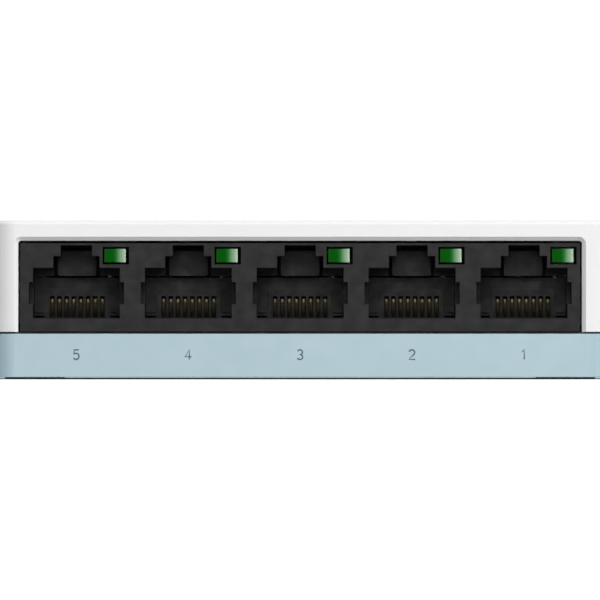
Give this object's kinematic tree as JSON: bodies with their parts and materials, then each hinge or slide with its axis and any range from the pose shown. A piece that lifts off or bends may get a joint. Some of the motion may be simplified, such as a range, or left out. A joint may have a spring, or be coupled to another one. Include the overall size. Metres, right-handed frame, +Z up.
{
  "type": "desktop network switch",
  "caption": "Small two-shell desktop network switch with a row of latch-up modular sockets and link lamps along its front and a barrel power socket at the rear.",
  "frame": {"origin": "on the table, under the middle of the case", "axes": "+X along the row of ports towards port 1, the ports face -Y, +Z up"},
  "size_m": [0.09, 0.056, 0.0225],
  "materials": {
    "white_shell": "glossy injection-moulded shell",
    "blue_shell": "satin light blue-grey moulded shell",
    "black_plastic": "matte black glass-filled connector plastic",
    "gold_plate": "gold-plated phosphor bronze wire",
    "tinned_lead": "bright tin plate",
    "lamp_green": "translucent green diffused epoxy",
    "green_board": "green solder mask on glass-epoxy",
    "black_epoxy": "moulded epoxy package",
    "ferrite": "grey-black ferrite",
    "capacitor_can": "aluminium can in a dark sleeve",
    "steel_can": "drawn steel can",
    "ceramic": "tan ceramic with tin ends",
    "resistor_film": "glazed film on white ceramic",
    "spring_bronze": "silver-plated bronze leaf",
    "clear_plastic": "clear acrylic light pipe",
    "zinc_steel": "zinc-plated steel",
    "rubber": "dark grey rubber",
    "label_film": "blank matt polyester label"
  },
  "bodies": {
    "chassis": {"top_cover": "white_shell", "base_tray": "blue_shell", "port_bank_housing": "black_plastic", "port_insert_1": "black_plastic", "port_insert_2": "black_plastic", "port_insert_3": "black_plastic", "port_insert_4": "black_plastic", "port_insert_5": "black_plastic", "port_tails_1": "tinned_lead", "port_tails_2": "tinned_lead", "port_tails_3": "tinned_lead", "port_tails_4": "tinned_lead", "port_tails_5": "tinned_lead", "port_lamp_1": "lamp_green", "port_lamp_2": "lamp_green", "port_lamp_3": "lamp_green", "port_lamp_4": "lamp_green", "port_lamp_5": "lamp_green", "lamp_leads": "tinned_lead", "circuit_board": "green_board", "line_transformer_1": "black_epoxy", "line_transformer_2": "black_epoxy", "line_transformer_3": "black_epoxy", "line_transformer_4": "black_epoxy", "line_transformer_5": "black_epoxy", "transformer_leads": "tinned_lead", "switch_chip": "black_epoxy", "switch_chip_leads": "tinned_lead", "regulator": "black_epoxy", "regulator_leads": "tinned_lead", "power_inductor": "ferrite", "filter_capacitors": "capacitor_can", "crystal": "steel_can", "ceramic_capacitors": "ceramic", "chip_resistors": "resistor_film", "dc_socket_body": "black_plastic", "dc_centre_pin": "tinned_lead", "dc_sleeve_terminal": "tinned_lead", "power_lamp": "lamp_green", "power_light_pipe": "clear_plastic", "rubber_foot_1": "rubber", "rubber_foot_2": "rubber", "rubber_foot_3": "rubber", "rubber_foot_4": "rubber", "case_screws": "zinc_steel", "board_screws": "zinc_steel", "base_label": "label_film"},
    "port_1_wires": {"port_contacts_1": "gold_plate"},
    "port_2_wires": {"port_contacts_2": "gold_plate"},
    "port_3_wires": {"port_contacts_3": "gold_plate"},
    "port_4_wires": {"port_contacts_4": "gold_plate"},
    "port_5_wires": {"port_contacts_5": "gold_plate"},
    "dc_leaf": {"dc_spring_contact": "spring_bronze"}
  },
  "joints": [
    {"name": "port_1_wire_flex", "type": "hinge", "parent": "chassis", "child": "port_1_wires", "pos_m": [0.03175, -0.025, 0.00785], "axis": [-1, 0, 0], "range_deg": [0, 8], "stiffness_Nm_per_rad": 0.2},
    {"name": "port_2_wire_flex", "type": "hinge", "parent": "chassis", "child": "port_2_wires", "pos_m": [0.01588, -0.025, 0.00785], "axis": [-1, 0, 0], "range_deg": [0, 8], "stiffness_Nm_per_rad": 0.2},
    {"name": "port_3_wire_flex", "type": "hinge", "parent": "chassis", "child": "port_3_wires", "pos_m": [0, -0.025, 0.00785], "axis": [-1, 0, 0], "range_deg": [0, 8], "stiffness_Nm_per_rad": 0.2},
    {"name": "port_4_wire_flex", "type": "hinge", "parent": "chassis", "child": "port_4_wires", "pos_m": [-0.01588, -0.025, 0.00785], "axis": [-1, 0, 0], "range_deg": [0, 8], "stiffness_Nm_per_rad": 0.2},
    {"name": "port_5_wire_flex", "type": "hinge", "parent": "chassis", "child": "port_5_wires", "pos_m": [-0.03175, -0.025, 0.00785], "axis": [-1, 0, 0], "range_deg": [0, 8], "stiffness_Nm_per_rad": 0.2},
    {"name": "dc_leaf_flex", "type": "hinge", "parent": "chassis", "child": "dc_leaf", "pos_m": [-0.028, 0.016, 0.00865], "axis": [-1, 0, 0], "range_deg": [0, 4], "stiffness_Nm_per_rad": 0.3}
  ]
}
